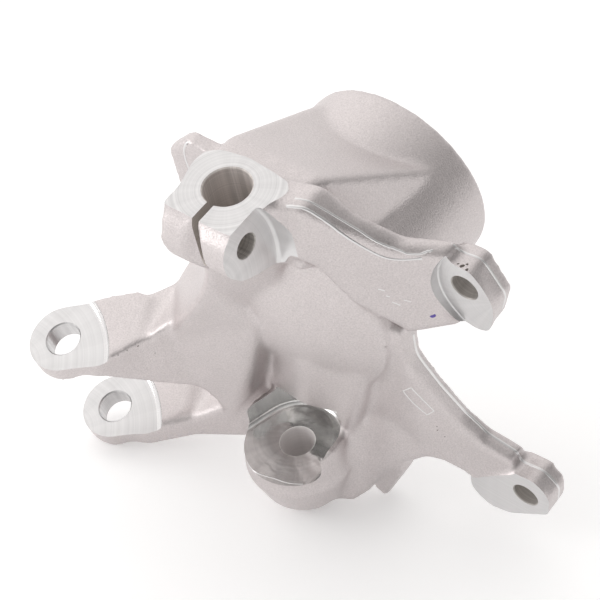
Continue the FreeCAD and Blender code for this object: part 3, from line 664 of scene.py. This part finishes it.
def tool_marks_group():
    """Shared group: tool marks as rings round Z or bands along it, painted reflection streaks by bearing round
    Z, which run up a bore's wall, and waves.
    """
    group = bpy.data.node_groups.get("Tool marks")
    if group:
        return group
    group = bpy.data.node_groups.new("Tool marks", "ShaderNodeTree")
    sockets = group.interface
    sockets.new_socket("Position", in_out="INPUT", socket_type="NodeSocketVector")
    scale = sockets.new_socket("Marks per metre", in_out="INPUT", socket_type="NodeSocketFloat")
    scale.default_value = 900.0
    sockets.new_socket("Bands", in_out="INPUT", socket_type="NodeSocketFloat")
    sockets.new_socket("Marks", in_out="OUTPUT", socket_type="NodeSocketFloat")
    sockets.new_socket("Streaks", in_out="OUTPUT", socket_type="NodeSocketFloat")
    sockets.new_socket("Waves", in_out="OUTPUT", socket_type="NodeSocketFloat")
    take = group.nodes.new("NodeGroupInput")
    give = group.nodes.new("NodeGroupOutput")
    link = group.links.new
    split = group.nodes.new("ShaderNodeSeparateXYZ")
    link(take.outputs["Position"], split.inputs["Vector"])
    flat = group.nodes.new("ShaderNodeVectorMath")
    flat.operation = "MULTIPLY"
    flat.inputs[1].default_value = (1, 1, 0)
    link(take.outputs["Position"], flat.inputs[0])
    reach = group.nodes.new("ShaderNodeVectorMath")
    reach.operation = "LENGTH"
    link(flat.outputs["Vector"], reach.inputs[0])
    along = group.nodes.new("ShaderNodeMix")
    link(take.outputs["Bands"], along.inputs["Factor"])
    link(reach.outputs["Value"], along.inputs["A"])
    link(split.outputs["Z"], along.inputs["B"])
    marks = group.nodes.new("ShaderNodeTexNoise")
    marks.noise_dimensions = "1D"
    marks.inputs["Detail"].default_value = 4.0
    marks.inputs["Roughness"].default_value = 0.75
    link(along.outputs["Result"], marks.inputs["W"])
    link(take.outputs["Marks per metre"], marks.inputs["Scale"])
    bearing = group.nodes.new("ShaderNodeVectorMath")
    bearing.operation = "NORMALIZE"
    link(flat.outputs["Vector"], bearing.inputs[0])
    # Painted reflection: noise on the bearing round Z, which darkens the colour in streaks and wedges
    reflection_streaks = group.nodes.new("ShaderNodeTexNoise")
    reflection_streaks.inputs["Scale"].default_value = 3.2
    reflection_streaks.inputs["Detail"].default_value = 4.0
    reflection_streaks.inputs["Roughness"].default_value = 0.65
    link(bearing.outputs["Vector"], reflection_streaks.inputs["Vector"])
    waves = group.nodes.new("ShaderNodeTexNoise")
    waves.inputs["Scale"].default_value = 75.0
    waves.inputs["Detail"].default_value = 2.0
    waves.inputs["Distortion"].default_value = 0.8
    link(take.outputs["Position"], waves.inputs["Vector"])
    link(marks.outputs["Fac"], give.inputs["Marks"])
    link(reflection_streaks.outputs["Fac"], give.inputs["Streaks"])
    link(waves.outputs["Fac"], give.inputs["Waves"])
    return group


def machined(name, colour, roughness, turn, centre, per_metre=900.0, depth=8.0, bands=False,
             shade=0.05, reflection_streak=0.06, wave=0.0, metallic=1.0):
    """Machined metal with tool marks as rings round the turned Z axis or bands along it.

    Depth and wave are the heights of the marks and of the waves in micrometres. Reflection streak is how far
    the painted reflection streaks darken the colour by bearing round the axis.
    """
    material = bpy.data.materials.new(name)
    tree, shader = nodes_of(material)
    link = tree.links.new
    place = tree.nodes.new("ShaderNodeTexCoord")
    centring = tree.nodes.new("ShaderNodeMapping")
    centring.vector_type = "TEXTURE"
    centring.inputs["Location"].default_value = OWN @ turn @ Vector(centre)
    centring.inputs["Rotation"].default_value = (OWN @ turn).to_quaternion().to_euler()
    link(place.outputs["Object"], centring.inputs["Vector"])
    marks = tree.nodes.new("ShaderNodeGroup")
    marks.node_tree = tool_marks_group()
    marks.inputs["Marks per metre"].default_value = per_metre
    marks.inputs["Bands"].default_value = 1.0 if bands else 0.0
    link(centring.outputs["Vector"], marks.inputs["Position"])
    # The colour darkens along the tool marks, then in painted reflection streaks
    tone = None
    for output, amount in (("Marks", shade), ("Streaks", reflection_streak)):
        layer = tree.nodes.new("ShaderNodeMix")
        layer.data_type = "RGBA"
        layer.blend_type = "MULTIPLY"
        layer.inputs["Factor"].default_value = 1.0
        ramp = tree.nodes.new("ShaderNodeMapRange")
        ramp.inputs["From Min"].default_value = 0.3
        ramp.inputs["From Max"].default_value = 0.7
        ramp.inputs["To Min"].default_value = 1 - 2 * amount
        ramp.inputs["To Max"].default_value = 1.0
        link(marks.outputs[output], ramp.inputs["Value"])
        if tone is None:
            layer.inputs["A"].default_value = (*colour, 1)
        else:
            link(tone.outputs["Result"], layer.inputs["A"])
        link(ramp.outputs["Result"], layer.inputs["B"])
        tone = layer
    link(tone.outputs["Result"], shader.inputs["Base Color"])
    bump = tree.nodes.new("ShaderNodeBump")
    bump.inputs["Strength"].default_value = 1.0
    bump.inputs["Distance"].default_value = depth * 1e-6
    link(marks.outputs["Marks"], bump.inputs["Height"])
    if wave:
        swell = tree.nodes.new("ShaderNodeBump")
        swell.inputs["Strength"].default_value = 1.0
        swell.inputs["Distance"].default_value = wave * 1e-6
        link(marks.outputs["Waves"], swell.inputs["Height"])
        link(swell.outputs["Normal"], bump.inputs["Normal"])
    link(bump.outputs["Normal"], shader.inputs["Normal"])
    shader.inputs["Metallic"].default_value = metallic
    shader.inputs["Roughness"].default_value = roughness
    return material


def finishes():
    """All finishes of the knuckle, skin first."""
    looks = bpy.context.scene.knuckle_finish
    metal = tuple(looks.cut_colour)
    warm = tuple(looks.bore_colour)
    flat = Matrix.Identity(4)
    clevis_centre = (*CLEVIS_SWEEPS[0][:2], 0)
    skin = blasted("Blasted forging", tuple(looks.skin_colour), looks.skin_roughness)
    cut = {
        "clamp": machined(
            "Milled clamp", metal, 0.33, flat, (0, 0, CLAMP_TOP), per_metre=700.0, depth=26.0, shade=0.09,
        ),
        # Painted light: the lighter bore colour with less metal, so that the slot looks lit inside
        "slot": machined("Sawn slot", warm, 0.4, flat, (0, 0, 0), bands=True, metallic=0.7),
        "spot": machined(
            "Spot face", metal, 0.33, SIDEWAYS, (*SPOT_CENTRE, SPOT_X), per_metre=500.0, depth=16.0,
        ),
        "clevis": machined(
            "Clevis face", metal, 0.4, CLEVIS, clevis_centre, per_metre=260.0, depth=22.0, shade=0.06,
        ),
        "groove": machined("Clevis groove", metal, 0.12, CLEVIS, clevis_centre, per_metre=800.0, depth=3.0),
        "caliper": machined(
            "Caliper face", metal, 0.42, AGAINST_Y, (*UPPER_SWEEP[:2], 0), per_metre=600.0, depth=4.0,
            shade=0.03,
        ),
    }
    bore = {
        # Painted light: a near-white non-metal, so that the stud bore looks lit inside
        "stud": machined(
            "Stud bore", (0.94, 0.87, 0.83), 0.3, flat, (0, 0, 0), per_metre=1300.0, depth=9.0, bands=True,
            shade=0.08, reflection_streak=0.24, metallic=0.0,
        ),
        # Painted light: the lighter bore colour with little metal, so that the pinch bore looks lit inside
        "pinch": machined(
            "Pinch bore", warm, 0.3, SIDEWAYS, (*PINCH, 0), per_metre=1300.0, bands=True,
            shade=0.15, reflection_streak=0.25, metallic=0.2,
        ),
        "clevis": machined(
            "Clevis bore", metal, 0.3, CLEVIS, (*CLEVIS_HOLE, 0), per_metre=1300.0, depth=5.0, bands=True,
            shade=0.06, reflection_streak=0.15,
        ),
        # Painted light: the lighter bore colour with little metal, so that the caliper bores look lit inside
        "caliper": machined(
            "Caliper bore", warm, 0.3, ALONG_Y, (0, 0, 0), per_metre=1300.0, bands=True,
            shade=0.15, reflection_streak=0.25, metallic=0.3,
        ),
        # Painted light: a near-white non-metal, so that the lower bore looks lit inside
        "lower": machined(
            "Lower bore", (0.95, 0.91, 0.90), 0.5, flat, (0, 0, 0), depth=6.0, bands=True, metallic=0.0,
        ),
        "bearing": machined(
            "Bearing seat", metal, 0.25, ALONG_Y, (0, 0, 0), per_metre=1500.0, depth=4.0, bands=True,
        ),
    }
    pocket = machined(
        "Milled pocket", (0.92, 0.91, 0.90), 0.14, flat, (-2, 3, POCKET_FLOOR), per_metre=450.0, depth=20.0,
        shade=0.08, reflection_streak=0.12, wave=420.0, metallic=0.9,
    )
    return skin, cut, bore, pocket


def plain(name, colour, roughness, metallic=1.0):
    """One plain finish."""
    material = bpy.data.materials.new(name)
    shader = nodes_of(material)[1]
    shader.inputs["Base Color"].default_value = (*colour, 1)
    shader.inputs["Roughness"].default_value = roughness
    shader.inputs["Metallic"].default_value = metallic
    return material


# Seams, scratches and marks on the skin

def smooth_line(points, step=0.9, closed=False):
    """Points along a smooth curve through the given ones."""
    points = [Vector(point) for point in points]
    count = len(points)
    line = []
    for i in range(count if closed else count - 1):
        if closed:
            a, b, c, d = (points[(i + k) % count] for k in (-1, 0, 1, 2))
        else:
            a, b = points[max(i - 1, 0)], points[i]
            c, d = points[i + 1], points[min(i + 2, count - 1)]
        parts = max(1, round((c - b).length / step))
        for k in range(parts):
            t = k / parts
            line.append(0.5 * (
                2 * b + (c - a) * t + (2 * a - 5 * b + 4 * c - d) * t * t + (3 * b - a - 3 * c + d) * t ** 3
            ))
    if not closed:
        line.append(points[-1])
    return line


def ridge(tree, line, width, height, shape, closed=False):
    """A low ridge laid on the skin along a line, tapered at its ends and sunk at its sides."""
    spots = []
    for point in line:
        spots.append(tree.find_nearest(point)[:2])
    rows = []
    count = len(spots)
    for i, (spot, normal) in enumerate(spots):
        ahead = spots[(i + 1) % count][0] if closed else spots[min(i + 1, count - 1)][0]
        behind = spots[i - 1][0] if closed or i else spots[0][0]
        along = ahead - behind
        if along.length < 1e-6:
            continue
        side = along.normalized().cross(normal).normalized()
        end = 1.0 if closed else min(1.0, RIDGE_TIP + min(i, count - 1 - i) / RIDGE_TAPER)
        rows.append([
            shape.verts.new(spot + side * across * width + normal * rise * height * end)
            for across, rise in RIDGE_SECTION
        ])
    pairs = list(zip(rows, rows[1:]))
    if closed:
        pairs.append((rows[-1], rows[0]))
    for first, second in pairs:
        for k in range(len(first) - 1):
            shape.faces.new((first[k], first[k + 1], second[k + 1], second[k]))


def blot(tree, spot, radius, seed, shape, thick=0.05):
    """A small uneven patch lying on the skin."""
    chance = random.Random(seed)
    centre, normal = tree.find_nearest(Vector(spot))[:2]
    side = normal.orthogonal().normalized()
    up = normal.cross(side)
    ring = []
    for k in range(BLOT_CORNERS):
        angle = math.tau * k / BLOT_CORNERS
        reach = radius * chance.uniform(*BLOT_REACH)
        point = centre + side * math.cos(angle) * reach + up * math.sin(angle) * reach * BLOT_FLAT
        foot, facing = tree.find_nearest(point)[:2]
        ring.append(shape.verts.new(foot + facing * thick))
    middle = shape.verts.new(centre + normal * (thick + BLOT_RISE))
    for k in range(BLOT_CORNERS):
        shape.faces.new((middle, ring[k], ring[(k + 1) % BLOT_CORNERS]))


class KNUCKLE_OT_forging(bpy.types.Operator):
    """Makes the forging with blended edges and machined faces, in place of the frame's solid"""

    bl_idname = "knuckle.forging"
    bl_label = "Forging"

    def execute(self, context):
        sizes = context.scene.knuckle_sizes
        skin, cut, bore, pocket = finishes()
        shape = bmesh.new()
        shape.from_mesh(frame["nodes"][NODE].data)
        bmesh.ops.remove_doubles(shape, verts=shape.verts, dist=1e-6)
        bmesh.ops.transform(shape, matrix=OWN.inverted(), verts=shape.verts)
        blank = new_object("knuckle_forging", shape, skin)
        blank = join([blank] + [new_object("stock", item) for item in stock()])
        blank.data.materials.clear()
        blank.data.materials.append(skin)
        grid = sizes.grid * 1.0
        remesh = blank.modifiers.new("Skin", "REMESH")
        remesh.mode = "VOXEL"
        remesh.voxel_size = grid
        settle(blank)
        valley = new_object("valley", slab(JAW_VALLEY, 40.0, 90.0))
        carve = blank.modifiers.new("Valley", "BOOLEAN")
        carve.operation = "DIFFERENCE"
        carve.solver = "MANIFOLD"
        carve.object = valley
        settle(blank)
        bpy.data.objects.remove(valley)
        remesh = blank.modifiers.new("Skin", "REMESH")
        remesh.mode = "VOXEL"
        remesh.voxel_size = grid
        soften = blank.modifiers.new("Blend", "SMOOTH")
        soften.factor = SMOOTHING
        soften.iterations = max(1, round(sizes.blend_steps * (sizes.grid / grid) ** 2))
        settle(blank)
        hollow_blend(blank, sizes)
        for number, (cutter, finish) in enumerate(machining(cut, bore, pocket)):
            tool = new_object(f"tool_{number}", cutter, finish)
            trim = blank.modifiers.new(f"Cut {number}", "BOOLEAN")
            trim.operation = "DIFFERENCE"
            trim.solver = "MANIFOLD"
            trim.material_mode = "TRANSFER"
            trim.object = tool
            settle(blank)
            bpy.data.objects.remove(tool)
        if len(blank.data.polygons) < 1000:
            raise RuntimeError("the forging came out empty")
        crisp(blank.data)
        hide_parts(NODE)
        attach(blank, "root")
        return {"FINISHED"}


class KNUCKLE_OT_marks(bpy.types.Operator):
    """Lays the flash seams, the die frame and the small marks on the forging's skin"""

    bl_idname = "knuckle.marks"
    bl_label = "Seams and marks"

    def execute(self, context):
        looks = context.scene.knuckle_finish
        base = bpy.data.objects.get("knuckle_forging")
        if base is None:
            raise RuntimeError("the forging is made before its marks")
        skin = bmesh.new()
        skin.from_mesh(base.data)
        bmesh.ops.transform(skin, matrix=OWN.inverted(), verts=skin.verts)
        skin.normal_update()
        tree = BVHTree.FromBMesh(skin)
        skin.free()
        seams = bmesh.new()
        for width, height, line in SEAMS:
            ridge(tree, smooth_line(line), width, height, seams)
        corners = list(DIE_FRAME) + [DIE_FRAME[0]]
        for first, last in zip(corners, corners[1:]):
            middle = (Vector(first) + Vector(last)) / 2
            ridge(tree, smooth_line((first, middle, last)), DIE_FRAME_WIDTH, DIE_FRAME_HEIGHT, seams)
        ride_along(new_object("knuckle_seams", seams, plain("Seam edge", tuple(looks.cut_colour), 0.3)))
        dark_specks = bmesh.new()
        for number, (x, y, z, radius) in enumerate(DARK_SPECKS):
            blot(tree, (x, y, z), radius, number, dark_specks)
        ride_along(new_object("knuckle_dark_specks", dark_specks, plain("Dark speck", (0.16, 0.14, 0.13), 0.6)))
        ink = bmesh.new()
        blot(tree, INK, INK_RADIUS, INK_SEED, ink, 0.04)
        ride_along(new_object("knuckle_ink_dot", ink, plain("Violet ink", (0.13, 0.09, 0.42), 0.45, 0.0)))
        return {"FINISHED"}


class KNUCKLE_OT_stage(bpy.types.Operator):
    """Sets up the floor, the lamps and the camera"""

    bl_idname = "knuckle.stage"
    bl_label = "Stage"

    def execute(self, context):
        studio = context.scene.knuckle_studio
        shape = bmesh.new()
        bmesh.ops.create_grid(shape, x_segments=1, y_segments=1, size=FLOOR_REACH)
        mesh = bpy.data.meshes.new("floor")
        shape.to_mesh(mesh)
        shape.free()
        floor = bpy.data.objects.new("floor", mesh)
        context.scene.collection.objects.link(floor)
        material = bpy.data.materials.new("Pale floor")
        tree, shader = nodes_of(material)
        shader.inputs["Base Color"].default_value = (*studio.floor_colour, 1)
        shader.inputs["Roughness"].default_value = 0.9
        shader.inputs["Specular IOR Level"].default_value = 0.1
        shader.inputs["Emission Color"].default_value = (1, 1, 1, 1)
        seen = tree.nodes.new("ShaderNodeLightPath")
        either = tree.nodes.new("ShaderNodeMath")
        either.operation = "MAXIMUM"
        lift = tree.nodes.new("ShaderNodeMath")
        lift.operation = "MULTIPLY"
        lift.inputs[1].default_value = FLOOR_LIFT
        tree.links.new(seen.outputs["Is Camera Ray"], either.inputs[0])
        tree.links.new(seen.outputs["Is Glossy Ray"], either.inputs[1])
        tree.links.new(either.outputs["Value"], lift.inputs[0])
        tree.links.new(lift.outputs["Value"], shader.inputs["Emission Strength"])
        mesh.materials.append(material)

        world = bpy.data.worlds.new("Studio")
        context.scene.world = world
        world.use_nodes = True
        tree = world.node_tree
        tree.nodes.clear()
        output = tree.nodes.new("ShaderNodeOutputWorld")
        sky = tree.nodes.new("ShaderNodeBackground")
        sky.inputs["Color"].default_value = (*SKY_COLOUR, 1)
        direction = tree.nodes.new("ShaderNodeTexCoord")
        side = tree.nodes.new("ShaderNodeVectorMath")
        side.operation = "DOT_PRODUCT"
        side.inputs[1].default_value = Vector(BRIGHT_SIDE).normalized()
        tree.links.new(direction.outputs["Generated"], side.inputs[0])
        level = tree.nodes.new("ShaderNodeMapRange")
        level.inputs["From Min"].default_value = -1.0
        level.inputs["To Min"].default_value = SKY_LEVELS[0]
        level.inputs["To Max"].default_value = SKY_LEVELS[1]
        tree.links.new(side.outputs["Value"], level.inputs["Value"])
        tree.links.new(level.outputs["Result"], sky.inputs["Strength"])
        tree.links.new(sky.outputs["Background"], output.inputs["Surface"])
        middle = OWN @ Vector((0, 0, 0))
        for name, spot, size, power in LAMPS:
            lamp = bpy.data.lights.new(name, "AREA")
            lamp.size = size
            lamp.energy = power
            item = bpy.data.objects.new(name, lamp)
            item.location = spot
            aim = middle - Vector(spot)
            item.rotation_euler = aim.to_track_quat("-Z", "Y").to_euler()
            context.scene.collection.objects.link(item)

        camera = bpy.data.cameras.new("Camera")
        camera.lens = studio.lens
        camera.sensor_width = SENSOR
        camera.clip_start = NEAR_CLIP
        item = bpy.data.objects.new("Camera", camera)
        context.scene.collection.objects.link(item)
        turn = OWN.to_3x3() @ Matrix.Scale(1 / MM, 3)
        columns = [(turn @ Vector(axis)).normalized() for axis in (EYE_RIGHT, EYE_UP, EYE_BACK)]
        matrix = Matrix(columns).transposed().to_quaternion().to_matrix().to_4x4()
        matrix.translation = OWN @ Vector(EYE)
        item.matrix_world = matrix
        context.scene.camera = item
        context.scene.view_settings.view_transform = "Standard"
        return {"FINISHED"}


class KNUCKLE_PT_panel(bpy.types.Panel):
    """Lists the knuckle's steps and settings"""

    bl_idname = "KNUCKLE_PT_panel"
    bl_label = "Steering Knuckle"
    bl_space_type = "VIEW_3D"
    bl_region_type = "UI"
    bl_category = "Knuckle"

    def draw(self, context):
        layout = self.layout
        for group in ("knuckle_sizes", "knuckle_finish", "knuckle_studio"):
            settings = getattr(context.scene, group)
            for name in settings.bl_rna.properties.keys():
                if name not in ("rna_type", "name"):
                    layout.prop(settings, name)
        layout.operator(KNUCKLE_OT_forging.bl_idname)
        layout.operator(KNUCKLE_OT_marks.bl_idname)
        layout.operator(KNUCKLE_OT_stage.bl_idname)


CLASSES = (
    KnuckleSizes, KnuckleFinish, KnuckleStudio, KNUCKLE_OT_forging, KNUCKLE_OT_marks,
    KNUCKLE_OT_stage, KNUCKLE_PT_panel,
)


def register():
    for item in CLASSES:
        bpy.utils.register_class(item)
    bpy.types.Scene.knuckle_sizes = bpy.props.PointerProperty(type=KnuckleSizes)
    bpy.types.Scene.knuckle_finish = bpy.props.PointerProperty(type=KnuckleFinish)
    bpy.types.Scene.knuckle_studio = bpy.props.PointerProperty(type=KnuckleStudio)


def unregister():
    del bpy.types.Scene.knuckle_studio
    del bpy.types.Scene.knuckle_finish
    del bpy.types.Scene.knuckle_sizes
    for item in reversed(CLASSES):
        bpy.utils.unregister_class(item)


def main():
    register()
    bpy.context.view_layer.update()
    bpy.ops.knuckle.forging()
    bpy.ops.knuckle.marks()
    bpy.ops.knuckle.stage()


if __name__ == "__main__":
    main()
